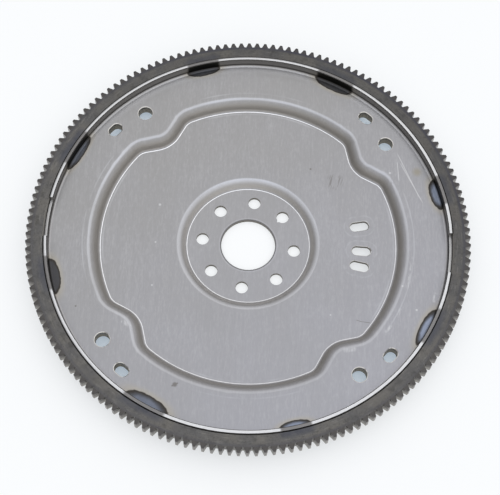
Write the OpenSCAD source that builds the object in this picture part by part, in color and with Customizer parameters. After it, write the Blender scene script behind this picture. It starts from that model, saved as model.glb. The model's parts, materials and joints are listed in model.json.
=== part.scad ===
// Flexplate: a pressed steel drive plate with a welded starter ring gear and converter pads.
// Millimetres. Z is the crankshaft axis, and z = 0 is the crank face under the hub.
// X points at the first converter bolt hole.

/* [Ring gear] */
// Number of starter teeth
teeth = 164; // [150:1:176]
// Metal between the ring's bore and the tooth roots
ring_wall = 10; // [8:0.1:12]
// Height of a tooth from root to tip
tooth_h = 4.5; // [3.6:0.1:5.2]
// Width of the ring along the axis
ring_w = 11; // [9:0.5:12]
// Depth of the starter lead-in at the tooth tips
lead_in = 0.9; // [0.4:0.1:1.5]
// Chamfer on both edges of the ring's bore
bore_chamfer = 0.7; // [0.3:0.1:1]

/* [Pressed plate] */
// Thickness of the sheet
sheet_t = 3.2; // [2.8:0.1:3.8]
// Distance from the converter bolt circle out to the rim's outside, which is also the ring's bore
rim_gap = 21.3; // [20.5:0.1:26]
// Height of the rim above the web
rim_h = 9.1; // [8:0.1:11]
// Height of the rim's edge above the ring's face
rim_proud = 1; // [0.5:0.1:2]
// Inside radius of the bend into the rim
rim_bend_r = 2.2; // [1.5:0.1:3.5]
// Broken corners of the rim's edge
rim_edge = 0.6; // [0.3:0.1:0.9]
// Rise from the hub up to the disc
hub_rise = 5.1; // [3.5:0.1:7]
// Rise from the disc up to the web
disc_rise = 7.7; // [6:0.1:9]
// Inside radius of the bend at the foot of a step
foot_r = 3; // [2.4:0.1:4]
// Inside radius of the bend at the head of a step
head_r = 5.5; // [4.5:0.1:6.5]

/* [Lobed step] */
// Distance from the converter bolt circle in to the foot of the step
step_gap = 24; // [22:0.1:30]
// Depth of a lobe inwards from the foot of the step
lobe_depth = 10.9; // [9:0.1:12]
// Radius of a lobe's nose at the foot of the step
lobe_r = 25.8; // [22:0.1:30]
// Lean of a lobe's flanks from the tangent
flank_lean = 25.4; // [20:0.1:30]
// Radius of the corners between lobe and disc
corner_r = 12; // [8:0.5:16]
// Turn of the lobes from the converter holes
lobe_turn = -0.5; // [-2:0.1:2]

/* [Crank hub] */
// Radius of the hub's flat
hub_r = 50.2; // [49:0.1:53]
// Diameter of the crank pilot bore
pilot_d = 44.7; // [40:0.1:50]
// Diameter of the crank bolt circle
crank_pcd = 76.2; // [74:0.1:80]
// Diameter of a crank bolt hole
crank_hole_d = 10.3; // [9:0.1:11.5]
// Turn of the index hole from its even place
index_turn = 4.15; // [3:0.05:5]
// Diameter of the small notch beside the index hole
index_notch_d = 2.4; // [1.6:0.1:3]

/* [Converter mounting] */
// Diameter of the converter bolt circle
converter_pcd = 290.4; // [288:0.1:292]
// Diameter of a converter bolt hole
converter_hole_d = 12; // [10:0.1:13]
// Distance from the bolt circle out to the slots
slot_out = 5.1; // [3:0.1:5.5]
// Turn from a bolt hole to its slot
slot_turn = 11.35; // [10.5:0.05:12.5]
// Length of a slot round the plate
slot_l = 12.6; // [11:0.1:14]
// Width of a slot
slot_w = 9; // [8:0.1:10]
// Thickness of a pad under the web
pad_t = 6.4; // [4:0.1:8]
// Metal round a pad's slot
pad_edge = 4.6; // [3.5:0.1:4.8]
// Rolled edge round the web's holes and slots
rolled_edge = 0.6; // [0.3:0.1:0.9]

/* [Sensor windows] */
// Distance from the foot of the step in to the middle of a window
window_gap = 28; // [24:0.1:34]
// Length of a window along its radius
window_l = 15.6; // [12:0.1:18]
// Width of a window
window_w = 8; // [6:0.1:8.5]

/* [Rim notches and welds] */
// Angle of the first rim notch, with the second one opposite
notch_at = 137.6; // [135:0.1:140]
// Width of a rim notch as an angle
notch_deg = 12; // [8:0.1:14]
// Depth of a rim notch from the rim's edge
notch_depth = 5; // [3:0.1:5.5]
// Length of a ring weld as an angle
weld_deg = 9; // [6:0.1:11]
// Swell of a ring weld below the groove
weld_swell = 1.1; // [0.6:0.1:1.5]

/* [Hidden] */
$fn = 96;

// Lobes of the step, one behind each converter hole, and even places on the crank bolt circle
lobes = 4;
quarter = 360 / lobes;
crank_places = 8;

// Steps in the round of a bend, and in the nose and corners of the cut-out lines
bend_steps = 5;
arc_steps = 6;

// Laps that knit the pressed step's stretches into one sheet
skin = 0.01;
lap = 0.3;
tail = 2;

// Reach of a cut past the face that it opens
past = 1;

// Radii that follow from the converter bolt circle
converter_r = converter_pcd / 2;
slot_r = converter_r + slot_out;
rim_r = converter_r + rim_gap;
disc_r = converter_r - step_gap;
lobe_reach = disc_r - lobe_depth;
window_r = disc_r - window_gap;
root_r = rim_r + ring_wall;
tip_r = root_r + tooth_h;

// Levels of the sheet
hub_top = sheet_t;
disc_z = hub_rise;
disc_top = disc_z + sheet_t;
web_z = disc_z + disc_rise;
web_top = web_z + sheet_t;
rim_top = web_top + rim_h;
ring_top = rim_top - rim_proud;
ring_z = ring_top - ring_w;

// An S-bend is a foot bend and a head bend on the sheet's middle, joined where they lean most
foot_mid = foot_r + sheet_t / 2;
head_mid = head_r + sheet_t / 2;
function lean(rise) = acos(1 - rise / (foot_mid + head_mid));
function run(rise) = (foot_mid + head_mid) * sin(lean(rise));
step_run = run(disc_rise);

// Lobe seen along its own axis: nose centre, corner centre and the straight flank between them
nose_x = lobe_reach + lobe_r;
corner_at = acos((nose_x * cos(flank_lean) - lobe_r - corner_r) / (disc_r - corner_r)) - flank_lean;
corner_c = (disc_r - corner_r) * [cos(corner_at), sin(corner_at)];
flank_n = [cos(flank_lean), -sin(flank_lean)];
flank_from = corner_c + corner_r * flank_n;
flank_to = [nose_x, 0] - lobe_r * flank_n;
flank_l = norm(flank_to - flank_from);
lap_deg = lap / disc_r * 180 / PI;

// Angles of the three sensor windows and of the ring welds
window_angles = [-27.8, -41.4, -49.9];
weld_angles = [-22.2, 26.3, 67, 114.7, 155.4, 203.8, 246.2, 295];
converter_angles = [for (k = [0:lobes - 1]) quarter * k];

steel = [0.66, 0.65, 0.65];
pad_steel = [0.45, 0.44, 0.42];
gear_steel = [0.33, 0.32, 0.31];
weld_steel = [0.24, 0.23, 0.24];

function turned(p, a) = [p.x * cos(a) - p.y * sin(a), p.x * sin(a) + p.y * cos(a)];
function reversed(list) = [for (i = [len(list) - 1:-1:0]) list[i]];

// One face of an S-bend, at a height off the sheet's middle, from the foot to the head
function bend_face(rise, off) = let(a = lean(rise), r = run(rise)) concat(
    [for (i = [0:bend_steps]) let(u = a * i / bend_steps)
        [(foot_mid - off) * sin(u), foot_mid - (foot_mid - off) * cos(u)]],
    [for (i = [bend_steps - 1:-1:0]) let(u = a * i / bend_steps)
        [r - (head_mid + off) * sin(u), rise - head_mid + (head_mid + off) * cos(u)]]
);

// Closed section of the lobed step with flat tails, laid out from a radius in the direction way
function step_section(at, way, thick, ends) = let(
    mid = disc_z + sheet_t / 2,
    top = concat([[-ends, thick]], bend_face(disc_rise, thick), [[step_run + ends, disc_rise + thick]]),
    low = concat([[-ends, -thick]], bend_face(disc_rise, -thick), [[step_run + ends, disc_rise - thick]])
) [for (p = concat(top, reversed(low))) [at + way * p.x, mid + p.y]];

// Shares along an arc at the middle of each of its steps
arc_shares = [for (i = [0:arc_steps - 1]) (i + 0.5) / arc_steps];

// Outline of the step at a distance outside its foot, for the flats on either side of it
function lobe_line(s) = let(
    corner = [for (u = arc_shares) let(a = -flank_lean + (corner_at + flank_lean) * u)
        corner_c + (corner_r + s) * [cos(a), sin(a)]],
    nose = [for (u = arc_shares) let(a = 180 + flank_lean - 2 * flank_lean * u)
        [nose_x, 0] + (lobe_r - s) * [cos(a), sin(a)]],
    over = [for (u = arc_shares) let(a = corner_at + (quarter - 2 * corner_at) * u)
        (disc_r + s) * [cos(a), sin(a)]]
) concat([for (p = reversed(corner)) [p.x, -p.y]], nose, corner, over);

function outline(s) = [for (a = converter_angles) for (p = lobe_line(s)) turned(p, lobe_turn + a)];

// Quarter bend into the rim, at a radius about the bend's centre
rim_bend_c = [rim_r - sheet_t - rim_bend_r, web_top + rim_bend_r];
function rim_arc(r) = [for (i = [0:bend_steps]) let(u = 90 * i / bend_steps)
    rim_bend_c + r * [sin(u), -cos(u)]];

// Rim's edge at a height, from the outside in, with its broken corners carried on by a reach
function rim_corners(top, reach) = [
    [rim_r + reach, top - rim_edge - reach], [rim_r - rim_edge, top],
    [rim_r - sheet_t + rim_edge, top], [rim_r - sheet_t - reach, top - rim_edge - reach]
];

// Web and rim, turned in one piece and opened along the head of the step
module web_and_rim() {
    inner = lobe_reach;
    low = concat([[inner, web_z]], rim_arc(rim_bend_r + sheet_t));
    high = concat([[inner, web_top]], rim_arc(rim_bend_r));
    difference() {
        rotate_extrude() polygon(concat(low, rim_corners(rim_top, 0), reversed(high)));
        translate([0, 0, web_z - past]) linear_extrude(sheet_t + 2 * past) polygon(outline(step_run + tail / 2));
    }
}

// Hub, its round step and the disc, turned in one piece and trimmed along the foot of the lobed step
module hub_and_disc() {
    outer = disc_r + tail;
    mid = sheet_t / 2;
    low = [for (p = bend_face(hub_rise, -mid)) [hub_r + p.x, mid + p.y]];
    high = [for (p = bend_face(hub_rise, mid)) [hub_r + p.x, mid + p.y]];
    intersection() {
        rotate_extrude() polygon(concat(
            [[pilot_d / 2, 0]], low, [[outer, disc_z], [outer, disc_top]], reversed(high), [[pilot_d / 2, hub_top]]
        ));
        translate([0, 0, -past]) linear_extrude(disc_top + 2 * past) polygon(outline(-tail / 2));
    }
}

// Lobed step: round stretches between the lobes, then corner, flank and nose of each lobe
module lobed_step() {
    thin = sheet_t / 2 + skin;
    full = sheet_t / 2 + 2 * skin;
    for (a = converter_angles) rotate(lobe_turn + a) {
        rotate_extrude(start = corner_at - lap_deg, angle = quarter - 2 * corner_at + 2 * lap_deg)
            polygon(step_section(disc_r, 1, thin, tail));
        translate([nose_x, 0]) rotate_extrude(start = 180 - flank_lean, angle = 2 * flank_lean)
            polygon(step_section(lobe_r, -1, full, tail + lap));
        for (side = [0, 1]) mirror([0, side, 0]) {
            translate(corner_c) rotate_extrude(start = -flank_lean, angle = corner_at + flank_lean)
                polygon(step_section(corner_r, 1, full, tail + lap));
            translate(flank_from) rotate([90, 0, -flank_lean]) translate([0, 0, -lap])
                linear_extrude(flank_l + 2 * lap) polygon(step_section(0, 1, thin, tail));
        }
    }
}

// Half section of a hole that passes a face, opened there by a rolled edge
function hole_side(width, face, depth, edge) = [
    [0, face - depth], [width / 2, face - depth], [width / 2, face - edge],
    [width / 2 + edge + past, face + past], [0, face + past]
];

module hole(width, face, depth, edge) {
    rotate_extrude() polygon(hole_side(width, face, depth, edge));
}

// Straight-sided hole with round ends, along X
module slot(length, width, face, depth, edge) {
    reach = (length - width) / 2;
    side = hole_side(width, face, depth, edge);
    across = concat([for (i = [1:3]) side[i]], [for (i = [3:-1:1]) [-side[i].x, side[i].y]]);
    for (x = [-reach, reach]) translate([x, 0, 0]) hole(width, face, depth, edge);
    translate([-reach, 0, 0]) rotate([90, 0, 90]) linear_extrude(2 * reach) polygon(across);
}

// Bolt hole and slot of one converter position, cut down from a face
module converter_cut(angle, face, depth, edge) {
    rotate(angle) translate([converter_r, 0, 0]) hole(converter_hole_d, face, depth, edge);
    rotate(angle + slot_turn) translate([slot_r, 0, 0]) rotate(90) slot(slot_l, slot_w, face, depth, edge);
}

module crank_holes() {
    for (k = [0:crank_places - 1]) rotate(360 / crank_places * k + (k == 0 ? index_turn : 0))
        translate([crank_pcd / 2, 0, -past]) cylinder(d = crank_hole_d, h = sheet_t + 2 * past);
    rotate(index_turn) translate([(crank_pcd - crank_hole_d) / 2, 0, -past])
        cylinder(d = index_notch_d, h = sheet_t + 2 * past);
}

module rim_notches() {
    for (a = [notch_at, notch_at + 180])
        rotate_extrude(start = a - notch_deg / 2, angle = notch_deg) polygon(concat(
            rim_corners(rim_top - notch_depth, past),
            [[rim_r - sheet_t - past, rim_top + past], [rim_r + past, rim_top + past]]
        ));
}

module flex_plate() {
    color(steel) difference() {
        union() {
            web_and_rim();
            lobed_step();
            hub_and_disc();
        }
        crank_holes();
        rim_notches();
        for (a = converter_angles) converter_cut(a, web_top, sheet_t + past, rolled_edge);
        for (a = window_angles) rotate(a) translate([window_r, 0, 0])
            slot(window_l, window_w, disc_top, sheet_t + past, rolled_edge);
    }
}

// Half widths of a tooth at tip and root, as shares of the tooth pitch
tip_share = 0.13;
root_share = 0.39;

module ring_gear() {
    pitch = 360 / teeth;
    corners = [[-root_share, root_r], [-tip_share, tip_r], [tip_share, tip_r], [root_share, root_r]];
    cog = [for (k = [0:teeth - 1]) for (c = corners) let(a = (k + c[0]) * pitch) c[1] * [cos(a), sin(a)]];
    blank_r = tip_r + past;
    slope = lead_in / tooth_h;
    color(gear_steel) translate([0, 0, ring_z]) intersection() {
        linear_extrude(ring_w) polygon(cog);
        rotate_extrude() polygon([
            [rim_r + bore_chamfer, 0], [blank_r, 0], [blank_r, ring_w - (blank_r - root_r) * slope],
            [root_r, ring_w], [rim_r + bore_chamfer, ring_w], [rim_r, ring_w - bore_chamfer],
            [rim_r, bore_chamfer]
        ]);
    }
}

// Pad with round ends under one bolt hole and its slot
module converter_pad(angle) {
    bolt_c = converter_r * [1, 0];
    slot_c = slot_r * [cos(slot_turn), sin(slot_turn)];
    span = slot_c - bolt_c;
    pad_w = slot_w + 2 * pad_edge;
    color(pad_steel) difference() {
        rotate(angle) translate([bolt_c.x, bolt_c.y, web_z - pad_t]) rotate(atan2(span.y, span.x)) {
            for (x = [0, norm(span)]) translate([x, 0, 0]) cylinder(d = pad_w, h = pad_t);
            translate([0, -pad_w / 2, 0]) cube([norm(span), pad_w, pad_t]);
        }
        converter_cut(angle, web_top, sheet_t + pad_t + past, rolled_edge);
    }
}

// Step of the rim's bend at which a weld run begins
weld_from = 2;

// Weld run in the groove between the rim's bend and the ring's bore
module ring_weld(angle) {
    root = rim_arc(rim_bend_r + sheet_t);
    seat = [for (i = [weld_from:bend_steps - 1]) root[i]];
    top = seat[len(seat) - 1];
    toe = seat[0];
    heel = [rim_r, ring_z + bore_chamfer];
    swell = [for (i = [1:bend_steps - 1]) let(u = i / bend_steps)
        heel + (toe - heel) * u - [0, weld_swell * sin(180 * u)]];
    color(weld_steel) rotate_extrude(start = angle - weld_deg / 2, angle = weld_deg)
        polygon(concat(seat, [[rim_r, top.y], heel], swell));
}

flex_plate();
ring_gear();
for (i = [1:len(converter_angles)])
    converter_pad(converter_angles[i - 1]);
for (i = [1:len(weld_angles)])
    ring_weld(weld_angles[i - 1]);
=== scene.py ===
import bpy
import json
import math
from mathutils import Matrix, Vector

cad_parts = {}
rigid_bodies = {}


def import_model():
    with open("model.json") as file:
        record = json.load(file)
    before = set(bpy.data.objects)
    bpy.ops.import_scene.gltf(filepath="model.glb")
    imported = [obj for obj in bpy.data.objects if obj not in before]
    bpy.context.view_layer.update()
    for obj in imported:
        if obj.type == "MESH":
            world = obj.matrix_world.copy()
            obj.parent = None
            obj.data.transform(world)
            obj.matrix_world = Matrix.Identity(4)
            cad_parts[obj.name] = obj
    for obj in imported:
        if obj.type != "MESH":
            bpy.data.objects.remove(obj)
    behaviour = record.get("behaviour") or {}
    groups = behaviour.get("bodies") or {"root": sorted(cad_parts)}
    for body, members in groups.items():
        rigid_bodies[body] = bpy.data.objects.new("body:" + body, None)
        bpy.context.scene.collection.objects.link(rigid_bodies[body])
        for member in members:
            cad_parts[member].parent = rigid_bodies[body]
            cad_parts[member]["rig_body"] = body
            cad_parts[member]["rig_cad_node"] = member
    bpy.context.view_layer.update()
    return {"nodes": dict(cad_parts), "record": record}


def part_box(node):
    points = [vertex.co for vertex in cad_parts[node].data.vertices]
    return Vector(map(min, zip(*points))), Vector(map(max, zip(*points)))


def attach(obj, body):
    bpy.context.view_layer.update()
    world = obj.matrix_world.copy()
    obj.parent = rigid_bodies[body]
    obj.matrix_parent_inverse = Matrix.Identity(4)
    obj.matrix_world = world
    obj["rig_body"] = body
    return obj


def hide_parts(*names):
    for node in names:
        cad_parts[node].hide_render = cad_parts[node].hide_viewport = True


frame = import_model()
mm = 0.001
print("frame loaded:", len(frame["nodes"]), "nodes")


def flatWay(degrees):  # level direction at an angle about the axis
    turn = math.radians(degrees)
    return Vector((math.cos(turn), math.sin(turn), 0))


def skinHeight(spot, up=False):  # height of the plate's skin, met by a ray going down or up
    radius, degrees = spot
    way = Vector((0, 0, 1 if up else -1))
    start = flatWay(degrees) * radius - way
    seen = bpy.context.evaluated_depsgraph_get()
    return frame["nodes"]["flex_plate"].ray_cast(start, way, depsgraph=seen)[1].z


def nodeTurn(node):  # angle of a node about the axis, in radians
    points = [v.co for v in frame["nodes"][node].data.vertices]
    return math.atan2(sum(p.y for p in points), sum(p.x for p in points))


# places that the finishes follow, read from the frame
mounts = {m["name"]: m for m in frame["record"]["mounts"]}
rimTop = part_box("flex_plate")[1].z
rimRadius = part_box("flex_plate")[1].x
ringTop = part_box("ring_gear")[1].z
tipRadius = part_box("ring_gear")[1].x
pilotRadius = mounts["crank_pilot"]["dims"]["r_mm"] * mm
boltCircle = mounts["converter_bolts"]["dims"]["pcd_mm"] / 2 * mm
hubSpot = (28 * mm, 0)  # radius and degrees of a bare place on each flat
discSpot = (80 * mm, 100)
webSpot = (boltCircle, 45)
hubTop = skinHeight(hubSpot)
discTop = skinHeight(discSpot)
webTop = skinHeight(webSpot)
sheet = webTop - skinHeight(webSpot, up=True)
rimInner = rimRadius - sheet
welds = sorted(n for n in frame["nodes"] if n.startswith("ring_weld"))
pads = sorted(n for n in frame["nodes"] if n.startswith("converter_pad"))
print("levels in mm:", [round(v / mm, 2) for v in (hubTop, discTop, webTop, rimTop, sheet)])


class Wire:  # a socket in a node tree, with Python's operators on it
    def __init__(self, tree, socket=None):
        self.tree = tree
        self.socket = socket

    def node(self, kind, settings, inputs, out=0):
        made = self.tree.nodes.new(kind)
        for name, value in settings.items():
            if name == "stops":
                ramp = made.color_ramp
                while len(ramp.elements) < len(value):
                    ramp.elements.new(0.5)
                for element, (place, colour) in zip(ramp.elements, value):
                    element.position = place
                    element.color = opaque(colour)
            else:
                setattr(made, name, value)
        for key, value in inputs.items():
            if isinstance(value, Wire):
                self.tree.links.new(value.socket, made.inputs[key])
            else:
                made.inputs[key].default_value = value
        return Wire(self.tree, made.outputs[out])

    def other(self, out):  # another output of the same node
        return Wire(self.tree, self.socket.node.outputs[out])

    def into(self, socket):
        self.tree.links.new(self.socket, socket)

    def math(self, operation, first, second=0.0):
        return self.node("ShaderNodeMath", {"operation": operation}, {0: first, 1: second})

    def __add__(self, other): return self.math("ADD", self, other)
    def __radd__(self, other): return self.math("ADD", other, self)
    def __sub__(self, other): return self.math("SUBTRACT", self, other)
    def __rsub__(self, other): return self.math("SUBTRACT", other, self)
    def __mul__(self, other): return self.math("MULTIPLY", self, other)
    def __rmul__(self, other): return self.math("MULTIPLY", other, self)
    def __truediv__(self, other): return self.math("DIVIDE", self, other)
    def __pow__(self, other): return self.math("POWER", self, other)
    def __or__(self, other): return self.math("MAXIMUM", self, other)
    def __and__(self, other): return self.math("MINIMUM", self, other)
    def __abs__(self): return self.math("ABSOLUTE", self)

    def fade(self, start, end):  # 0 at start, 1 at end, smooth between
        return self.node("ShaderNodeMapRange", {"interpolation_type": "SMOOTHSTEP"},
                         {0: self, 1: start, 2: end, 3: 0.0, 4: 1.0})

    def band(self, low, high, soft):  # 1 between low and high
        return self.fade(low - soft, low + soft) * self.fade(high + soft, high - soft)

    def tint(self, colour, factor):  # this colour, going to the other one by factor
        return self.node("ShaderNodeMix", {"data_type": "RGBA"},
                         {0: factor, 6: self, 7: opaque(colour)}, 2)

    def between(self, low, high):  # a colour from low to high by this value
        return self.node("ShaderNodeMix", {"data_type": "RGBA"},
                         {0: self, 6: opaque(low), 7: opaque(high)}, 2)

    def dot(self, vector):
        return self.node("ShaderNodeVectorMath", {"operation": "DOT_PRODUCT"},
                         {0: self, 1: vector}, 1)

    def awayFrom(self, point):
        return self.node("ShaderNodeVectorMath", {"operation": "DISTANCE"},
                         {0: self, 1: point}, 1)

    def noise(self, scale, detail, along=0, stretch=1):  # drawn out by stretch at degrees along
        place = self
        if stretch != 1:
            place = self.node("ShaderNodeMapping", {"vector_type": "TEXTURE"},
                              {0: self, 2: (0, 0, math.radians(along)), 3: (stretch, 1, 1)})
        return self.node("ShaderNodeTexNoise", {}, {0: place, 2: scale, 3: detail})


noiseMean = 0.5


def opaque(colour):  # a colour's socket takes four numbers, or a link
    return colour if isinstance(colour, Wire) else (*colour, 1)


def largest(wires):
    total = wires[0]
    for wire in wires[1:]:
        total = total | wire
    return total


class Skin:  # a finish in the making, with its colour and roughness so far
    def __init__(self, name, metal):
        self.material = bpy.data.materials.new(name)
        self.material.use_nodes = True
        self.shader = self.material.node_tree.nodes["Principled BSDF"]
        self.shader.inputs["Metallic"].default_value = metal
        self.place = Wire(self.material.node_tree).node("ShaderNodeTexCoord", {}, {}, "Object")

    def findSides(self):  # 1 on what faces up, -1 on what faces down
        normal = self.place.other("Normal")
        self.upward = normal.node("ShaderNodeSeparateXYZ", {}, {0: normal}, 2)

    def findPlaces(self):  # axes, and the distance from the part's own
        self.x = self.place.node("ShaderNodeSeparateXYZ", {}, {0: self.place})
        self.y, self.z = self.x.other(1), self.x.other(2)
        self.radius = (self.x * self.x + self.y * self.y) ** 0.5

    def heightFade(self, base, span):  # 0 to 1 over a span, in mm above a height
        return self.z.fade(base + span[0] * mm, base + span[1] * mm)

    def radiusFade(self, base, span):  # the same outwards from a radius
        return self.radius.fade(base + span[0] * mm, base + span[1] * mm)

    def heightBand(self, base, span):  # 1 from low to high, the third number is the softness
        return self.z.band(base + span[0] * mm, base + span[1] * mm, span[2] * mm)

    def radiusBand(self, base, span):
        return self.radius.band(base + span[0] * mm, base + span[1] * mm, span[2] * mm)

    def sideFade(self, degrees, span):  # 0 to 1 towards one side of the part
        return (self.place.dot(flatWay(degrees)) / self.radius).fade(*span)

    def lay(self, colour, mask):  # a colour over what is there
        self.colour = self.colour.tint(colour, mask)

    def emboss(self, height, strength, depth):
        bump = self.place.node("ShaderNodeBump", {}, {
            "Height": height, "Strength": strength, "Distance": depth * mm})
        bump.into(self.shader.inputs["Normal"])

    def putOn(self, pieces):
        self.colour.into(self.shader.inputs["Base Color"])
        self.rough.into(self.shader.inputs["Roughness"])
        for piece in pieces:
            piece.data.materials.clear()
            piece.data.materials.append(self.material)


# stage
stageLook = {
    "floorSize": 6.0,
    "paper": (0.97, 0.97, 0.97),
    "paperRough": 0.9,
    "paperGlow": 0.62,  # share of plain white to the camera, beside the paper with the shadow
    "mirrorGlow": 0.15,  # the same in what the metal mirrors
    "glowTint": (0.955, 0.98, 1.0),
    "underWeb": (132, 158),  # mm, where the floor below the converter holes is painted darker and bluer, a painted shadow of the plate
    "underSoft": 4,  # mm
    "underGlow": 0.32,
    "underTint": (0.89, 1.08, 1.26),
    "skyStops": [  # from level to overhead
        (0.0, (0.36, 0.345, 0.33)),
        (0.35, (0.60, 0.59, 0.58)),
        (0.7, (1.02, 1.02, 1.02)),
        (0.90, (1.15, 1.155, 1.165)),
        (0.96, (1.27, 1.295, 1.35)),
        (1.0, (1.52, 1.58, 1.70)),
    ],
    "skyStrength": 1.08,
    "skySides": [(51, 0.30), (141, -0.42)],  # degrees, and how much more or less light
}


def buildStage(look):
    bpy.ops.object.select_all(action="DESELECT")
    bpy.ops.mesh.primitive_plane_add(size=look["floorSize"], location=(0, 0, 0))
    floor = bpy.context.object
    floor.name = "floor"
    paper = Skin("stage_paper", 0.0)
    paper.shader.inputs["Base Color"].default_value = opaque(look["paper"])
    paper.shader.inputs["Roughness"].default_value = look["paperRough"]
    paper.shader.inputs["Specular IOR Level"].default_value = 0.0
    seen = paper.place.node("ShaderNodeLightPath", {}, {}, "Is Camera Ray")
    mirrored = seen.other("Is Glossy Ray") | seen.other("Is Transmission Ray")
    inner, outer = look["underWeb"]
    away = paper.place.awayFrom((0, 0, 0))
    # painted shadow: less plain white and a blue tint on the floor below the converter holes
    below = away.band(inner * mm, outer * mm, look["underSoft"] * mm)
    share = seen * (look["paperGlow"] - below * (look["paperGlow"] - look["underGlow"]))
    share = share + mirrored * look["mirrorGlow"]
    glow = below.between(look["glowTint"], look["underTint"])
    white = glow.node("ShaderNodeEmission", {}, {"Color": glow, "Strength": 1.0})
    lit = Wire(glow.tree, paper.shader.outputs[0])
    mixed = glow.node("ShaderNodeMixShader", {}, {0: share, 1: lit, 2: white})
    mixed.into(glow.tree.nodes["Material Output"].inputs["Surface"])
    floor.data.materials.append(paper.material)


def buildSky(look):
    world = bpy.data.worlds.new("studio")
    bpy.context.scene.world = world
    world.use_nodes = True
    background = world.node_tree.nodes["Background"]
    toSky = Wire(world.node_tree).node("ShaderNodeTexCoord", {}, {}, "Generated")
    height = toSky.node("ShaderNodeSeparateXYZ", {}, {0: toSky}, 2)
    glow = height.node("ShaderNodeValToRGB", {"stops": look["skyStops"]}, {0: height})
    share = 1.0
    for degrees, part in look["skySides"]:
        share = share + (toSky.dot(flatWay(degrees)) | 0.0) * part
    glow = glow.node("ShaderNodeVectorMath", {"operation": "SCALE"}, {0: glow, "Scale": share})
    seen = toSky.node("ShaderNodeLightPath", {}, {}, "Is Camera Ray")
    glow.tint((1, 1, 1), seen).into(background.inputs["Color"])
    background.inputs["Strength"].default_value = look["skyStrength"]


# camera, placed from the ring's face
viewPoint = {
    "azimuth": -38.95,
    "elevation": 66.977,
    "roll": -2.016,
    "distance": 1.11107,
    "shiftRight": -0.00159,
    "shiftUp": 0.010295,
    "lens": 98.44,
    "sensor": 36,
}


def buildCamera(look):
    turn = math.radians(look["azimuth"])
    lift = math.radians(look["elevation"])
    roll = math.radians(look["roll"])
    right = Vector((math.cos(turn), math.sin(turn), 0))
    ahead = Vector((-math.sin(turn) * math.cos(lift), math.cos(turn) * math.cos(lift),
                    -math.sin(lift)))
    above = right.cross(ahead)
    place = Vector((0, 0, ringTop)) - right * look["shiftRight"] - above * look["shiftUp"]
    place -= ahead * look["distance"]
    rolledRight = right * math.cos(roll) - above * math.sin(roll)
    rolledUp = right * math.sin(roll) + above * math.cos(roll)
    lens = bpy.data.cameras.new("camera")
    lens.sensor_fit = "HORIZONTAL"
    lens.sensor_width = look["sensor"]
    lens.lens = look["lens"]
    camera = bpy.data.objects.new("camera", lens)
    bpy.context.scene.collection.objects.link(camera)
    axes = Matrix((rolledRight, rolledUp, -ahead)).transposed()
    camera.matrix_world = Matrix.Translation(place) @ axes.to_4x4()
    bpy.context.scene.camera = camera


buildStage(stageLook)
buildSky(stageLook)
buildCamera(viewPoint)
bpy.context.scene.view_settings.view_transform = "Standard"
print("stage and camera ready")


mergeReach = 0.03 * mm


def mergedCopy(node, name, smoothAngle):  # one closed mesh from a node's loose triangles
    bpy.ops.object.select_all(action="DESELECT")
    source = frame["nodes"][node]
    source.select_set(True)
    bpy.context.view_layer.objects.active = source
    bpy.ops.object.duplicate()
    piece = bpy.context.object
    piece.name = name
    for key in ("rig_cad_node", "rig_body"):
        if key in piece:
            del piece[key]
    piece.parent = None
    bpy.ops.object.mode_set(mode="EDIT")
    bpy.ops.mesh.select_all(action="SELECT")
    bpy.ops.mesh.remove_doubles(threshold=mergeReach)
    bpy.ops.object.mode_set(mode="OBJECT")
    bpy.ops.object.shade_smooth_by_angle(angle=math.radians(smoothAngle))
    return piece


def joinFlats(angle):  # one face for each flat of the active piece
    bpy.ops.object.mode_set(mode="EDIT")
    bpy.ops.mesh.select_all(action="SELECT")
    bpy.ops.mesh.dissolve_limited(angle_limit=math.radians(angle))
    bpy.ops.object.mode_set(mode="OBJECT")


def takeOver(piece, node):  # the piece shows in place of the node
    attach(piece, "root")
    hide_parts(node)


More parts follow.
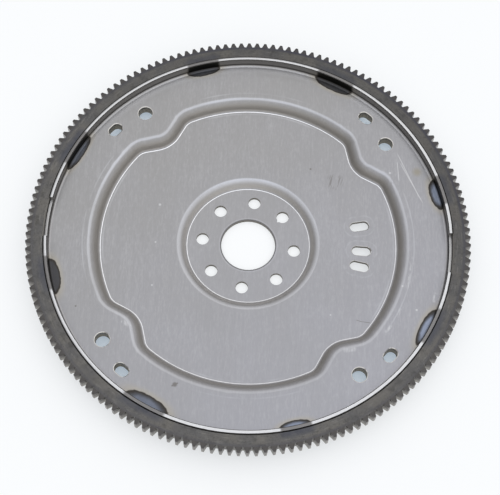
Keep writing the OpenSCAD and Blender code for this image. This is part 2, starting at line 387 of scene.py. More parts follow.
# pressed plate: spans and bands are mm from the level or radius they are used with, slopes are
# pairs of how far a face looks up, shares are how far a colour goes over what is there
plateLook = {
    "smoothAngle": 34,  # degrees, edges sharper than this stay sharp
    "flatAngle": 0.05,  # degrees, faces closer than this become one
    "flatWeight": 90,
    "metal": 0.9,
    "roughness": 0.40,
    "topSlope": (0.0, 0.2),
    "flatSlope": (0.98, 0.999),
    "levelSlope": (0.9, 0.97),
    # rolled sheet
    "steelWarm": (0.294, 0.289, 0.286),
    "steelCool": (0.307, 0.306, 0.328),
    "steelBright": (0.80, 0.80, 0.82),
    "steelDull": (0.07, 0.068, 0.065),
    "coolTurn": 268,  # degrees, the side towards which the sheet is painted bluer, painted light
    "coolSpan": (-150, 170),  # mm
    "coolShare": 0.75,
    "cloudShare": 0.5,
    "coolFrom": 0.12,
    "grainTurn": 51.05,  # degrees, the way the sheet was rolled
    "grainStretch": 4,
    "streakStretch": 16,
    "cloudNoise": (22, 3),  # scale and detail
    "mottleNoise": (240, 5),
    "grainNoise": (780, 2),
    "fineNoise": (1900, 2),
    "streakNoise": (420, 3),
    "waveNoise": (60, 2),
    "grainParts": (0.55, 0.2, 0.25),  # coarse, fine and streaks
    "grain": 0.42,
    "mottle": 0.14,
    "clouds": 0.07,
    "mottleRough": 0.12,
    "grainRough": 0.10,
    "bumpParts": (0.5, 0.5, 0.6, 1.5),  # coarse, fine, mottle and waves
    "bumpStrength": 0.08,
    "bumpDepth": 0.4,  # mm
    # walls of both steps, warm and rougher, painted lighter than the flats as painted light,
    # palest on the hub
    "warmLitWall": (0.455, 0.435, 0.408),
    "hubWall": (0.70, 0.68, 0.655),
    "wallsWithin": (140, 138),
    "steepSlope": (0.95, 0.55),
    "wallShare": 0.85,
    "wallRough": 0.08,
    # painted highlights along the foot and the head of each step
    "hubStep": (48, 63, 1),
    "lobedStep": (98, 138, 2),
    "footHighlight": (0.88, 0.88, 0.89),
    "footTop": (1.2, 0.8),
    "footSlopes": ((0.9996, 0.9965), (0.968, 0.980)),
    "footShares": (0.40, 0.5),  # at least, and by the mottle
    "footCool": (1.35, 0.6),
    "paleLineAndHighlight": (0.60, 0.61, 0.645),
    "hubHeadFrom": (-2.6, -1.6),
    "hubHeadSlopes": ((0.9999, 0.985), (0.76, 0.94)),
    "stepHeadFrom": (-2.0, -1.4),
    "stepHeadSlopes": ((0.9999, 0.993), (0.93, 0.98)),
    "headShares": (0.10, 0.5),  # at least, and by the clouds
    "headCool": 0.45,
    "highlightRough": 0.30,
    # faint rings on the flats beside the lobed step
    "dieLines": [(119.7, 0.55), (135.7, 0.45)],  # radius and half width
    "dieLineSoft": 0.4,
    "dieLineBreaks": (0.35, 0.65),
    "dieLineShare": 0.22,
    "lobes": 4,
    "roundStretch": (0.35, 0.0),
    # coined border round the windows
    "windowTurns": [-27.8, -41.4, -49.9],  # degrees
    "windowRadius": 93.2,
    "windowLength": 15.6,
    "windowWidth": 8.0,
    "coinedEdge": 4.9,
    "coinedBand": (-0.5, 0.3, 0.7),
    "coinedBreaks": (0.3, 0.65),
    "coinedShare": 0.2,
    "discSkin": (0.3, 0.1),
    # rim
    "rimFrom": (-2.2, -1.9),
    "farTurn": 51.05,  # degrees, the side on which the web beside the rim is painted paler, a painted highlight
    "farSide": (0.3, 0.9),
    "besideRim": (-10.0, -3.3),
    "besidePower": 1.5,
    "besideShare": 0.28,
    "webSkin": (0.5, 0.3),
    "bendSlopes": (0.60, 0.93, 0.06),
    "bendTop": (1.6, 1.2),
    "bendShare": 0.28,
    "rimWall": (0.27, 0.262, 0.252),
    # painted shade at the foot of the rim's wall
    "rimFootShade": (0.085, 0.083, 0.08),
    "rimFootTop": (1.4, 4.0),
    "rimWallFrom": (0.9, 1.5),
    "uprightSlope": (0.55, 0.25),
    "aboveBend": (2.4, 2.9),
    "edgeShade": (0.05, 0.048, 0.05),
    "cornerSlopes": (0.4, 0.9, 0.05),
    "cornerShare": 0.9,
    "nickNoise": (700, 2),
    "notchFloor": (0.42, 0.415, 0.41),
    "notchShares": (0.8, 0.3),  # at least, and by the nicks
    "rimEdge": (0.58, 0.58, 0.585),
    "rimEdgeFrom": (-0.3, -0.1),
    "rimEdgeShares": (0.55, 0.8),
    "outerTurn": 96,  # degrees, the side on which the rim's edge is painted dark on the outside, painted shade
    "outerSide": (-0.3, 0.5),
    "outerFrom": (-1.4, -0.8),
    "outerShare": 0.65,
    # holes
    "webHoles": (138, 157, 1),
    "discHoles": (75, 108, 1),
    "hubHoles": (49, 48),
    "holeEdgeHighlight": (0.62, 0.60, 0.57),
    "rolledEdge": (-0.62, -0.03, 0.02),
    "discEdgeShare": 0.35,
    "holeWall": (0.16, 0.145, 0.12),
    "shearedSlope": (0.2, 0.05),
    "shearedShare": 0.8,
    "pilotLip": (1.0, 0.6),
    "lipShare": 0.7,
    "pilotRub": (1.3, 1.9, 0.4),
    "rubShare": 0.2,
}
# tint that each weld left on the sheet, with a painted pale sheen on some, in the order of the
# welds
heatMarks = {
    "spread": [10.0, 12.6, 10.4, 12.6, 11.4, 13.8, 9.4, 12.3],  # degrees along the rim
    "depth": [7.5, 7.1, 6.2, 5.9, 8.1, 9.4, 6.4, 7.3],  # mm inwards from the rim
    "shine": [0.75, 0.0, 0.05, 0.2, 0.0, 0.4, 0.75, 0.95],  # how far the middle is painted pale, painted light that is strong on some welds and missing where the rim shades others
    "shineFrom": (0.16, 0.5),
    "turn": -0.4,  # degrees from the weld
    "raggedNoise": (260, 2),
    "ragged": 0.16,
    "straw": (0.36, 0.325, 0.255),
    "strawFrom": (-0.7, 0.0),
    "strawPower": 2.0,
    "strawShare": 0.5,
    "scale": (0.030, 0.026, 0.022),
    "blue": (0.052, 0.052, 0.056),
    "blueFrom": (0.06, 0.22),
    "pale": (0.25, 0.285, 0.37),
    "paleShares": (0.7, 0.6),  # at least, and by the mottle
    "tintFrom": (-0.03, 0.05),
    "tintShare": 0.97,
    "faceTop": (1.6, 0.9),  # mm above the web
    "underSlope": (0.0, -0.2),
    "soot": (0.015, 0.015, 0.013),
    "sootEnds": (0.0, 0.3),
    "sootFrom": (0.9, 1.4),  # mm above the web
    "sootTop": (-0.3, -0.7),  # mm from the rim's edge
    "edge": (0.115, 0.108, 0.104),
    "edgeShare": 0.85,
}
# small marks on the upper side, in mm
wearMarks = {
    "pale": (0.62, 0.62, 0.63),
    "paleShare": 0.55,
    "dark": (0.13, 0.12, 0.11),
    "darkShare": 0.75,
    "strokeEnds": 0.7,  # shares of a stroke's length and width, and of a spot, that are full
    "strokeCore": 0.3,
    "spotCore": 0.4,
    "stepRadius": 125,  # marks within lie on the disc
    "webFrom": (-0.3, -0.1),
    "scratches": [((148.2, -10.2), (135.3, -58.5), 0.45), ((142.9, -18.0), (131.8, -34.1), 0.4),
                  ((144.2, -19.0), (134.9, -62.8), 0.4)],
    "cracks": [((28.5, -106.1), (32.0, -111.0), 0.35), ((31.6, -110.2), (36.4, -115.2), 0.35)],
    "stars": [((-124.2, -64.0), (-117.8, -65.2), 0.9)],
    "rubs": [((98.9, -91.9), (75.4, -112.5), 1.3), ((61.6, -121.6), (53.6, -126.2), 1.6),
             ((93.0, -127.9), (85.0, -133.7), 1.9), ((46.6, -128.4), (37.9, -130.3), 1.5),
             ((11.6, -127.4), (1.7, -122.0), 2.4), ((-123.8, 4.4), (-120.9, -5.2), 2.2)],
    "rubBreaks": (0.3, 0.7),
    "rubShare": 0.75,
    "specks": [(74.7, -107.7, 1.1), (14.8, -90.4, 0.9), (70.6, -130.4, 1.2), (-38.2, 71.3, 1.4),
               (-60.9, 46.0, 1.0), (-85.3, 16.8, 1.0), (131.0, -23.1, 1.2)],
    "spots": [(82.7, 22.3, 1.1), (-146.0, 35.9, 1.0), (-121.0, -64.6, 2.6)],
    "smudge": (149.8, -35.9, 6.0),
    "smudgeCore": 0.1,
    "smudgeTone": (0.27, 0.245, 0.19),
    "smudgeShare": 0.7,
    "scuff": (91.7, 0.5, 9.0),
    "scuffCore": 0.5,
    "scuffNoise": (620, 2),
    "scuffTurn": 33,  # degrees
    "scuffStretch": 8,
    "scuffLines": (0.48, 0.62),
    "scuffShare": 0.5,
}


def buildPlate(look):
    plate = mergedCopy("flex_plate", "pressed_plate", look["smoothAngle"])
    joinFlats(look["flatAngle"])
    bpy.ops.object.shade_smooth_by_angle(angle=math.radians(look["smoothAngle"]))
    flats = plate.modifiers.new("flats", "WEIGHTED_NORMAL")
    flats.mode = "FACE_AREA"
    flats.weight = look["flatWeight"]
    flats.keep_sharp = True
    bpy.ops.object.modifier_apply(modifier="flats")
    takeOver(plate, "flex_plate")
    print("pressed plate:", len(plate.data.polygons), "faces")
    return plate


def laySheet(skin, look):  # rolling grain, mottling and soft clouds, and a bluer side that is painted light
    place = skin.place
    skin.clouds = place.noise(*look["cloudNoise"])
    skin.mottle = place.noise(*look["mottleNoise"])
    skin.grain = place.noise(*look["grainNoise"], look["grainTurn"], look["grainStretch"])
    skin.fine = place.noise(*look["fineNoise"], look["grainTurn"], look["grainStretch"])
    streak = place.noise(*look["streakNoise"], look["grainTurn"], look["streakStretch"])
    # painted light: the sheet goes bluer towards one side, and also with the clouds
    start, end = look["coolSpan"]
    skin.cool = place.dot(flatWay(look["coolTurn"])).fade(start * mm, end * mm)
    coarsePart, finePart, streakPart = look["grainParts"]
    shade = skin.grain * coarsePart + skin.fine * finePart + streak * streakPart
    shade = (shade - noiseMean) * look["grain"]
    shade = shade + (skin.mottle - noiseMean) * look["mottle"]
    shade = shade + (skin.clouds - noiseMean) * look["clouds"]
    cooled = skin.cool * look["coolShare"] + skin.clouds * look["cloudShare"] - look["coolFrom"]
    skin.colour = cooled.between(look["steelWarm"], look["steelCool"])
    skin.lay(look["steelBright"], shade | 0.0)
    skin.lay(look["steelDull"], (0 - shade) | 0.0)
    skin.rough = look["roughness"] + (skin.mottle - noiseMean) * look["mottleRough"]
    skin.rough = skin.rough + (skin.grain - noiseMean) * look["grainRough"]


def laySteps(skin, look):  # walls painted light, and painted highlights along the foot and the head of each step
    atHub = skin.radiusBand(0, look["hubStep"])
    atStep = skin.radiusBand(0, look["lobedStep"])
    # painted light: steep walls are laid lighter than the flats, palest on the hub's wall
    steep = abs(skin.upward).fade(*look["steepSlope"]) * skin.radiusFade(0, look["wallsWithin"])
    skin.lay(atHub.between(look["warmLitWall"], look["hubWall"]), steep * look["wallShare"])
    skin.rough = skin.rough + steep * look["wallRough"]

    def sloped(slopes):  # 1 where a face looks up within two slopes
        return skin.upward.fade(*slopes[0]) * skin.upward.fade(*slopes[1])

    footZone = atHub * skin.heightFade(hubTop, look["footTop"])
    footZone = footZone | (atStep * skin.heightFade(discTop, look["footTop"]))
    foot = sloped(look["footSlopes"]) * footZone
    hubHead = atHub * skin.heightFade(discTop, look["hubHeadFrom"])
    stepHead = atStep * skin.heightFade(webTop, look["stepHeadFrom"])
    # painted highlight along the head of each step, weaker on the bluer side
    head = sloped(look["stepHeadSlopes"]) * stepHead * (1 - skin.cool * look["headCool"])
    head = head | (sloped(look["hubHeadSlopes"]) * hubHead)
    least, byClouds = look["headShares"]
    skin.lay(look["paleLineAndHighlight"], head * (least + skin.clouds * byClouds))
    # painted highlight along the foot of each step
    least, byMottle = look["footShares"]
    warmest, byCool = look["footCool"]
    footMask = foot * (least + skin.mottle * byMottle) * (warmest - skin.cool * byCool)
    skin.lay(look["footHighlight"], footMask)
    skin.rough = skin.rough + (foot | head) * (look["highlightRough"] - look["roughness"])


def windowBorder(place, look):  # thin coined line round the windows
    reach = (look["windowLength"] - look["windowWidth"]) / 2 * mm
    nearest = None
    for degrees in look["windowTurns"]:
        way = flatWay(degrees)
        side = Vector((-way.y, way.x, 0))
        along = (abs(place.dot(way) - look["windowRadius"] * mm) - reach) | 0.0
        across = place.dot(side)
        away = (along * along + across * across) ** 0.5
        nearest = away if nearest is None else nearest & away
    edge = (look["windowWidth"] / 2 + look["coinedEdge"]) * mm
    low, high, soft = look["coinedBand"]
    return nearest.band(edge + low * mm, edge + high * mm, soft * mm)


def layRings(skin, look):  # faint lines of the die on the flats
    lobed = skin.x.math("ARCTAN2", skin.y, skin.x) * look["lobes"]
    onRound = lobed.math("COSINE", lobed).fade(*look["roundStretch"])
    soft = look["dieLineSoft"]
    rings = [skin.radiusBand(0, (r - half, r + half, soft)) for r, half in look["dieLines"]]
    ring = largest(rings) * onRound * skin.topSide * skin.upward.fade(*look["flatSlope"])
    broken = skin.clouds.fade(*look["dieLineBreaks"])
    skin.lay(look["paleLineAndHighlight"], ring * broken * look["dieLineShare"])
    border = windowBorder(skin.place, look) * skin.heightFade(discTop, look["discSkin"])
    broken = skin.mottle.fade(*look["coinedBreaks"])
    skin.lay(look["paleLineAndHighlight"], border * skin.topSide * broken * look["coinedShare"])


def layRim(skin, look):  # painted highlights beside the rim and on its bend, a wall with painted shade at its foot, broken corners and an outer edge painted dark as painted shade, the sheared edge and notch floors
    skin.atRim = skin.radiusFade(rimInner, look["rimFrom"])
    level = skin.upward.fade(*look["levelSlope"])
    # painted highlight on the web beside the rim, on one side only
    beside = skin.radiusFade(rimInner, look["besideRim"]) ** look["besidePower"] * level
    beside = beside * skin.heightFade(webTop, look["webSkin"])
    beside = beside * skin.sideFade(look["farTurn"], look["farSide"])
    skin.lay(look["steelBright"], beside * look["besideShare"])
    # painted highlight along the rim's inside bend
    bend = skin.upward.band(*look["bendSlopes"]) * skin.atRim
    bend = bend * skin.heightFade(webTop, look["bendTop"])
    skin.lay(look["steelBright"], bend * skin.topSide * look["bendShare"])
    # painted shade: the rim's wall goes dark towards its foot
    wallTone = skin.heightFade(webTop, look["rimFootTop"])
    wall = skin.atRim * skin.upward.fade(*look["uprightSlope"])
    wall = wall * skin.heightFade(webTop, look["rimWallFrom"])
    skin.lay(wallTone.between(look["rimFootShade"], look["rimWall"]), wall)
    aboveBend = skin.atRim * skin.heightFade(webTop, look["aboveBend"])
    # painted shade on the rim's broken corners
    corner = skin.upward.band(*look["cornerSlopes"]) * aboveBend
    skin.lay(look["edgeShade"], corner * look["cornerShare"])
    nicks = skin.place.noise(*look["nickNoise"])
    least, byNicks = look["notchShares"]
    skin.lay(look["notchFloor"], level * aboveBend * (least + nicks * byNicks))
    skin.rimEdge = level * aboveBend * skin.heightFade(rimTop, look["rimEdgeFrom"])
    least, byNicks = look["rimEdgeShares"]
    skin.lay(look["rimEdge"], skin.rimEdge * (least + nicks * byNicks))
    # painted shade along the outside of the rim's edge, on one side
    outer = skin.radiusFade(rimRadius, look["outerFrom"])
    outer = outer * skin.sideFade(look["outerTurn"], look["outerSide"])
    skin.lay(look["edgeShade"], skin.rimEdge * outer * look["outerShare"])


def layHoles(skin, look):  # rolled edges with a painted highlight, sheared walls, the pilot's lip painted dark as painted shade, and a rubbed ring
    inWeb = skin.radiusBand(0, look["webHoles"])
    inDisc = skin.radiusBand(0, look["discHoles"])
    inHub = skin.radiusFade(0, look["hubHoles"])
    rolled = inWeb * skin.heightBand(webTop, look["rolledEdge"])
    onDisc = inDisc * skin.heightBand(discTop, look["rolledEdge"])
    rolled = rolled | (onDisc * look["discEdgeShare"])
    # painted highlight on the rolled edges of the holes
    skin.lay(look["holeEdgeHighlight"], rolled * skin.topSide)
    sheared = abs(skin.upward).fade(*look["shearedSlope"]) * (inWeb | inDisc | inHub)
    skin.lay(look["holeWall"], sheared * look["shearedShare"])
    rubbed = skin.radiusBand(pilotRadius, look["pilotRub"]) * skin.topSide
    skin.lay(look["paleLineAndHighlight"], rubbed * look["rubShare"])
    # painted shade: a dark lip round the pilot
    lip = skin.radiusFade(pilotRadius, look["pilotLip"]) * skin.topSide
    skin.lay(look["edgeShade"], lip * look["lipShare"])


def weldReach(place, weld, spread, turn):  # -1 to 1 along a weld's tint, and 1 on its side
    middle = nodeTurn(weld) + math.radians(turn)
    half = rimInner * math.radians(spread) / 2
    along = place.dot((-math.sin(middle) / half, math.cos(middle) / half, 0))
    ahead = place.dot((math.cos(middle), math.sin(middle), 0))
    return along, ahead.math("GREATER_THAN", ahead, 0.0)


def heatMasks(skin, heat):  # bow along the rim, depth into the mark, and the painted light that turns its middle pale
    inwards = (rimInner - skin.radius) | 0.0
    ragged = skin.place.noise(*heat["raggedNoise"]) * heat["ragged"] - heat["ragged"] / 2
    bows, depths, shines = [], [], []
    for weld, spread, depth, shine in zip(welds, heat["spread"], heat["depth"], heat["shine"]):
        along, onSide = weldReach(skin.place, weld, spread, heat["turn"])
        down = inwards / (depth * mm)
        mark = 1 - (along * along + down * down) ** 0.5 + ragged
        mark = mark * onSide - (1 - onSide)
        bows.append((1 - along * along) * onSide)
        depths.append(mark)
        shines.append(mark.fade(*heat["shineFrom"]) * shine)
    return largest(bows), largest(depths), largest(shines)


def layHeat(skin, heat):
    bow, depth, shine = heatMasks(skin, heat)
    onFace = skin.topSide * skin.heightFade(webTop, heat["faceTop"])
    onFace = onFace | skin.upward.fade(*heat["underSlope"])
    straw = depth.fade(*heat["strawFrom"]) ** heat["strawPower"]
    skin.lay(heat["straw"], straw * onFace * heat["strawShare"])
    oxide = depth.fade(*heat["blueFrom"]).between(heat["scale"], heat["blue"])
    # painted light: the middles of some marks are laid pale
    least, byMottle = heat["paleShares"]
    oxide = oxide.tint(heat["pale"], shine * (least + skin.mottle * byMottle))
    skin.lay(oxide, depth.fade(*heat["tintFrom"]) * onFace * heat["tintShare"])
    soot = bow.fade(*heat["sootEnds"]) * skin.atRim * skin.heightFade(webTop, heat["sootFrom"])
    skin.lay(heat["soot"], soot * skin.heightFade(rimTop, heat["sootTop"]))
    skin.lay(heat["edge"], soot * skin.rimEdge * heat["edgeShare"])


def layMarks(skin, discSkin, marks):  # scratches, rubs, specks, spots, a smudge and a scuff
    onWeb = skin.heightFade(webTop, marks["webFrom"])
    onDisc = skin.heightFade(discTop, discSkin)

    def stroke(start, end, width):  # a thin line between two points
        start, end = Vector((*start, 0)) * mm, Vector((*end, 0)) * mm
        middle = (start + end) / 2
        way = end - start
        reach = way.length / 2
        way.normalize()
        side = Vector((-way.y, way.x, 0))
        along = abs(skin.place.dot(way) - middle.dot(way))
        across = abs(skin.place.dot(side) - middle.dot(side))
        ends = along.fade(reach, reach * marks["strokeEnds"])
        return ends * across.fade(width * mm, width * mm * marks["strokeCore"])

    def spot(x, y, size, core=marks["spotCore"]):
        level = webTop if math.hypot(x, y) > marks["stepRadius"] else discTop
        return skin.place.awayFrom((x * mm, y * mm, level)).fade(size * mm, size * mm * core)

    broken = skin.grain.fade(*marks["rubBreaks"])
    pale = [stroke(*line) * onWeb for line in marks["scratches"]]
    pale += [stroke(*line) * onWeb * broken * marks["rubShare"] for line in marks["rubs"]]
    pale += [spot(*speck) for speck in marks["specks"]]
    dark = [stroke(*line) * onDisc for line in marks["cracks"]]
    dark += [stroke(*line) * onWeb for line in marks["stars"]]
    dark += [spot(*dot) for dot in marks["spots"]]
    skin.lay(marks["pale"], largest(pale) * skin.topSide * marks["paleShare"])
    skin.lay(marks["dark"], largest(dark) * skin.topSide * marks["darkShare"])
    smudge = spot(*marks["smudge"], marks["smudgeCore"])
    skin.lay(marks["smudgeTone"], smudge * skin.topSide * marks["smudgeShare"])
    hatch = skin.place.noise(*marks["scuffNoise"], marks["scuffTurn"], marks["scuffStretch"])
    scuff = spot(*marks["scuff"], marks["scuffCore"]) * hatch.fade(*marks["scuffLines"])
    skin.lay(marks["dark"], scuff * skin.topSide * marks["scuffShare"])


def finishPlate(plate, look, heat, marks):
    skin = Skin("rolled_steel", look["metal"])
    skin.findSides()
    skin.findPlaces()
    skin.topSide = skin.upward.fade(*look["topSlope"])
    laySheet(skin, look)
    laySteps(skin, look)
    layRings(skin, look)
    layRim(skin, look)
    layHoles(skin, look)
    layHeat(skin, heat)
    layMarks(skin, look["discSkin"], marks)
    coarsePart, finePart, mottlePart, wavePart = look["bumpParts"]
    height = skin.grain * coarsePart + skin.fine * finePart + skin.mottle * mottlePart
    height = height + skin.place.noise(*look["waveNoise"]) * wavePart
    skin.emboss(height, look["bumpStrength"], look["bumpDepth"])
    skin.putOn([plate])


plate = buildPlate(plateLook)
finishPlate(plate, plateLook, heatMarks, wearMarks)
print("plate finished")

# starter ring, with spans in mm from the level or radius they are used with
gearLook = {
    "smoothAngle": 30,  # degrees, edges sharper than this stay sharp
    "flatAngle": 0.4,  # degrees, faces closer than this become one
    "softEdge": 0.18,  # mm
    "softSteps": 2,
    "softAngle": 24,  # degrees, edges sharper than this are softened
    "shadeAngle": 40,  # the same as smoothAngle, for what the soft edges added
    "metal": 0.75,
    "roughness": 0.50,
    # oxide on the face
    "oxide": (0.104, 0.102, 0.102),
    "oxideWarm": (0.132, 0.125, 0.115),
    "warmFrom": (0.32, 0.68),
    "worn": (0.26, 0.25, 0.235),
    "wornFrom": (0.5, 0.8),
    "wornShare": 0.5,
    "grimeAndShade": (0.04, 0.039, 0.037),
    "grimeFrom": (0.5, 0.75),
    "stainShare": 0.45,
    "gritShare": 0.5,
    "blotchNoise": (60, 4),  # scale and detail
    "stainNoise": (190, 4),
    "streakNoise": (900, 3),
    "streakTurn": 0.12,  # share of the way round that a streak sees, so it is drawn out
    "gritNoise": (1100, 2),
    "streakRough": 0.2,
    "bumpParts": (0.6, 0.4),  # streaks and grit
    "bumpStrength": 0.2,
    "bumpDepth": 0.3,  # mm
    "dimTurn": 22,  # degrees, the side that is painted darker, painted shade
    "dimSide": (-0.2, 0.9),
    "dimShare": 0.30,
    # blued by the welds, and by the hardening along the tooth roots
    "blued": (0.060, 0.064, 0.082),
    "bluedSpread": 1.2,  # of the tint on the sheet
    "bluedEnds": (0.0, 0.7),
    "bluedReach": (8, 2),
    "bluedShares": (0.35, 0.6),  # at least, and by the stains
    "rootLine": (0.050, 0.050, 0.064),
    "rootBand": (-3.2, -0.6),
    "rootBreaks": (0.3, 0.7),
    "rootShares": (0.15, 0.4, 0.45),  # at least, by the blotches, and more on the dim side as painted shade
    # teeth
    "toothDepth": 4.5,  # mm
    "teethFrom": (-0.4, 0.3),
    "toothTop": (0.074, 0.068, 0.062),
    "toothTopShare": 0.6,
    "cutSlope": (0.5, 0.2),
    "cutDark": (0.085, 0.078, 0.070),  # flanks and roots at the upper face
    "cutFaceReflection": (0.47, 0.45, 0.41),  # and below, pale as a painted reflection of the floor
    "cutSpan": (-1.0, -10.5),
    "cutShares": (0.75, 0.8),  # in the mean, and by the stains
    "cutRough": 0.24,
    "tipFace": (0.31, 0.293, 0.27),
    "tipFrom": (-0.7, -0.3),
    "tipShare": 0.55,
    # bore
    "boreTo": (0.75, 0.6),
    "boreShare": 0.6,
    "notches": [137.6, 317.6],  # degrees, where the rim lays the ring's bore bare
    "notchHalf": 6,
    "notchSoft": 0.0005,
    "bareShare": 0.9,
}


def buildRing(look):
    ring = mergedCopy("ring_gear", "starter_ring", look["smoothAngle"])
    joinFlats(look["flatAngle"])
    soft = ring.modifiers.new("soft_edges", "BEVEL")
    soft.width = look["softEdge"] * mm
    soft.segments = look["softSteps"]
    soft.limit_method = "ANGLE"
    soft.angle_limit = math.radians(look["softAngle"])
    soft.harden_normals = False
    bpy.ops.object.modifier_apply(modifier="soft_edges")
    bpy.ops.object.shade_smooth_by_angle(angle=math.radians(look["shadeAngle"]))
    flats = ring.modifiers.new("flats", "WEIGHTED_NORMAL")
    flats.keep_sharp = True
    bpy.ops.object.modifier_apply(modifier="flats")
    takeOver(ring, "ring_gear")
    print("starter ring:", len(ring.data.polygons), "faces")
    return ring


def layOxide(skin, look):  # blotched oxide with streaks round the ring, stains and grit
    turn = skin.x.math("ARCTAN2", skin.y, skin.x)
    around = turn * (rimRadius * look["streakTurn"])
    polar = turn.node("ShaderNodeCombineXYZ", {}, {0: skin.radius, 1: around, 2: skin.z})
    skin.blotch = skin.place.noise(*look["blotchNoise"])
    skin.stain = skin.place.noise(*look["stainNoise"])
    skin.streaks = polar.noise(*look["streakNoise"])
    skin.grit = skin.place.noise(*look["gritNoise"])
    warm = skin.blotch.fade(*look["warmFrom"])
    skin.colour = warm.between(look["oxide"], look["oxideWarm"])
    skin.lay(look["worn"], skin.streaks.fade(*look["wornFrom"]) * look["wornShare"])
    skin.lay(look["grimeAndShade"], skin.stain.fade(*look["grimeFrom"]) * look["stainShare"])
    skin.lay(look["grimeAndShade"], skin.grit.fade(*look["grimeFrom"]) * look["gritShare"])
    skin.rough = look["roughness"] + (skin.streaks - noiseMean) * look["streakRough"]


def layBlueAndShade(skin, rootRadius, look, heat):  # blue by the welds and along the tooth roots, and painted shade on one side
    heated = []
    for weld, spread in zip(welds, heat["spread"]):
        along, onSide = weldReach(skin.place, weld, spread * look["bluedSpread"], heat["turn"])
        heated.append((1 - along * along).fade(*look["bluedEnds"]) * onSide)
    nearWeld = largest(heated) * skin.radiusFade(rimRadius, look["bluedReach"])
    least, byStain = look["bluedShares"]
    skin.lay(look["blued"], nearWeld * (least + skin.stain * byStain))
    # painted shade: the ring goes darker towards one side
    dim = skin.sideFade(look["dimTurn"], look["dimSide"])
    skin.lay(look["grimeAndShade"], dim * look["dimShare"])
    least, byBlotch, byDim = look["rootShares"]
    share = least + skin.blotch.fade(*look["rootBreaks"]) * byBlotch + dim * byDim
    skin.lay(look["rootLine"], skin.radiusFade(rootRadius, look["rootBand"]) * share)


def layTeeth(skin, rootRadius, look):  # oxidised ends, and cut flanks and tips that go pale towards the bottom as a painted reflection of the floor
    teeth = skin.radiusFade(rootRadius, look["teethFrom"])
    skin.lay(look["toothTop"], teeth * look["toothTopShare"])
    cut = teeth * abs(skin.upward).fade(*look["cutSlope"])
    # painted reflection of the floor: cut flanks go pale towards the bottom
    flankReflection = skin.heightFade(ringTop, look["cutSpan"])
    flankReflection = flankReflection.between(look["cutDark"], look["cutFaceReflection"])
    atTip = skin.radiusFade(tipRadius, look["tipFrom"])
    flankReflection = flankReflection.tint(look["tipFace"], atTip * look["tipShare"])
    mean, byStain = look["cutShares"]
    skin.lay(flankReflection, cut * (mean + (skin.stain - noiseMean) * byStain))
    skin.rough = skin.rough + cut * (look["cutRough"] - look["roughness"])


def layBore(skin, look):  # painted dark next to the rim as painted shade, and rubbed where a notch of the rim lays it bare
    bore = skin.radiusFade(rimRadius, look["boreTo"])
    edge = math.cos(math.radians(look["notchHalf"]))
    ahead = largest([skin.place.dot(flatWay(degrees)) for degrees in look["notches"]])
    bare = (ahead / skin.radius).fade(edge - look["notchSoft"], edge + look["notchSoft"])
    # painted shade in the gap between the ring's bore and the rim
    skin.lay(look["grimeAndShade"], bore * look["boreShare"])
    skin.lay(look["worn"], bore * bare * look["bareShare"])


def finishRing(ring, look, heat):
    skin = Skin("ring_oxide", look["metal"])
    skin.findSides()
    skin.findPlaces()
    rootRadius = tipRadius - look["toothDepth"] * mm
    layOxide(skin, look)
    layBlueAndShade(skin, rootRadius, look, heat)
    layTeeth(skin, rootRadius, look)
    layBore(skin, look)
    streakPart, gritPart = look["bumpParts"]
    height = skin.streaks * streakPart + skin.grit * gritPart
    skin.emboss(height, look["bumpStrength"], look["bumpDepth"])
    skin.putOn([ring])


ring = buildRing(gearLook)
finishRing(ring, gearLook, heatMarks)
print("ring finished")

# pads under the converter holes
padLook = {
    "metal": 0.8,
    "roughness": 0.5,
    "roughSpread": 0.3,
    "steel": (0.26, 0.25, 0.24),
    "scale": (0.15, 0.145, 0.14),
    "scaleNoise": (90, 6),  # scale and detail
    "scaleFrom": (0.2, 0.9),
    "bright": (0.48, 0.47, 0.46),
    "brushNoise": (700, 3),
    "brushTurn": 70,  # degrees
    "brushStretch": 10,
    "brushFrom": (0.45, 0.85),
    "brushShare": 0.35,
    "wall": (0.40, 0.36, 0.29),
    "wallSlope": (0.4, 0.1),
    "wallShare": 0.85,
}


def finishPads(look):
    skin = Skin("pad_steel", look["metal"])
    skin.findSides()
    scale = skin.place.noise(*look["scaleNoise"])
    brushed = skin.place.noise(*look["brushNoise"], look["brushTurn"], look["brushStretch"])
    skin.colour = scale.fade(*look["scaleFrom"]).between(look["steel"], look["scale"])
    skin.lay(look["bright"], brushed.fade(*look["brushFrom"]) * look["brushShare"])
    skin.lay(look["wall"], abs(skin.upward).fade(*look["wallSlope"]) * look["wallShare"])
    skin.rough = look["roughness"] + (scale - noiseMean) * look["roughSpread"]
    skin.putOn([frame["nodes"][pad] for pad in pads])


# weld beads under the ring
weldLook = {
    "smoothAngle": 40,  # degrees
    "ripples": 14,
    "pitch": 0.62,  # degrees from one ripple to the next
    "place": (164.85, 14.0),  # mm, radius and height of the ripples' middle
    "size": (1.85, 1.35, 1.75),  # mm, half sizes across, along and down
    "faces": (20, 12),  # of a ripple, round and from pole to pole
    "voxel": 0.22,  # mm
    "soften": 0.5,
    "softenTimes": 2,
    "metal": 0.8,
    "roughness": 0.45,
    "roughSpread": 0.3,
    "bead": (0.20, 0.195, 0.19),
    "scale": (0.06, 0.058, 0.062),
    "scaleNoise": (300, 4),  # scale and detail
    "scaleFrom": (0.35, 0.65),
    "bumpStrength": 0.5,
    "bumpDepth": 0.4,  # mm
}


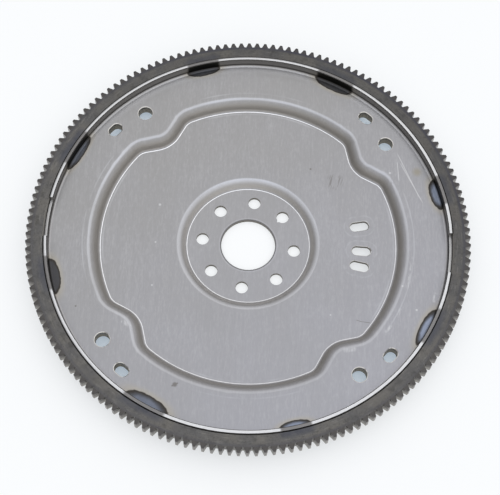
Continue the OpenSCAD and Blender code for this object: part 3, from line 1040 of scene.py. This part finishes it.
def buildBead(look):  # the first weld run, with ripples along it
    bead = mergedCopy(welds[0], "weld_bead_1", look["smoothAngle"])
    middle = nodeTurn(welds[0])
    radius, height = look["place"]
    bpy.ops.object.mode_set(mode="EDIT")
    for k in range(look["ripples"]):
        turn = middle + math.radians((k - (look["ripples"] - 1) / 2) * look["pitch"])
        bpy.ops.mesh.select_all(action="DESELECT")
        bpy.ops.mesh.primitive_uv_sphere_add(
            segments=look["faces"][0], ring_count=look["faces"][1], radius=mm,
            scale=look["size"], rotation=(0, 0, turn),
            location=(radius * mm * math.cos(turn), radius * mm * math.sin(turn), height * mm))
    bpy.ops.object.mode_set(mode="OBJECT")
    joined = bead.modifiers.new("one_skin", "REMESH")
    joined.mode = "VOXEL"
    joined.voxel_size = look["voxel"] * mm
    bpy.ops.object.modifier_apply(modifier="one_skin")
    soft = bead.modifiers.new("soft", "SMOOTH")
    soft.factor = look["soften"]
    soft.iterations = look["softenTimes"]
    bpy.ops.object.modifier_apply(modifier="soft")
    bpy.ops.object.shade_smooth()
    return bead


def turnedCopy(piece, name, turn):  # turned about the axis, with its own mesh
    bpy.ops.object.select_all(action="DESELECT")
    piece.select_set(True)
    bpy.context.view_layer.objects.active = piece
    bpy.ops.object.duplicate()
    turned = bpy.context.object
    turned.name = name
    turned.rotation_mode = "XYZ"
    turned.rotation_euler = (0, 0, turn)
    bpy.ops.object.transform_apply(location=False, rotation=True, scale=False)
    return turned


def buildBeads(look):
    bead = buildBead(look)
    beads = [bead]
    for k, weld in enumerate(welds[1:], start=2):
        turn = nodeTurn(weld) - nodeTurn(welds[0])
        beads.append(turnedCopy(bead, "weld_bead_%d" % k, turn))
    for piece, weld in zip(beads, welds):
        takeOver(piece, weld)
    print("weld beads:", len(beads), "of", len(bead.data.polygons), "faces")
    return beads


def finishBeads(beads, look):
    skin = Skin("weld_metal", look["metal"])
    scale = skin.place.noise(*look["scaleNoise"])
    skin.colour = scale.fade(*look["scaleFrom"]).between(look["bead"], look["scale"])
    skin.rough = look["roughness"] + (scale - noiseMean) * look["roughSpread"]
    skin.emboss(scale, look["bumpStrength"], look["bumpDepth"])
    skin.putOn(beads)


finishPads(padLook)
beads = buildBeads(weldLook)
finishBeads(beads, weldLook)
print("pads and welds finished")
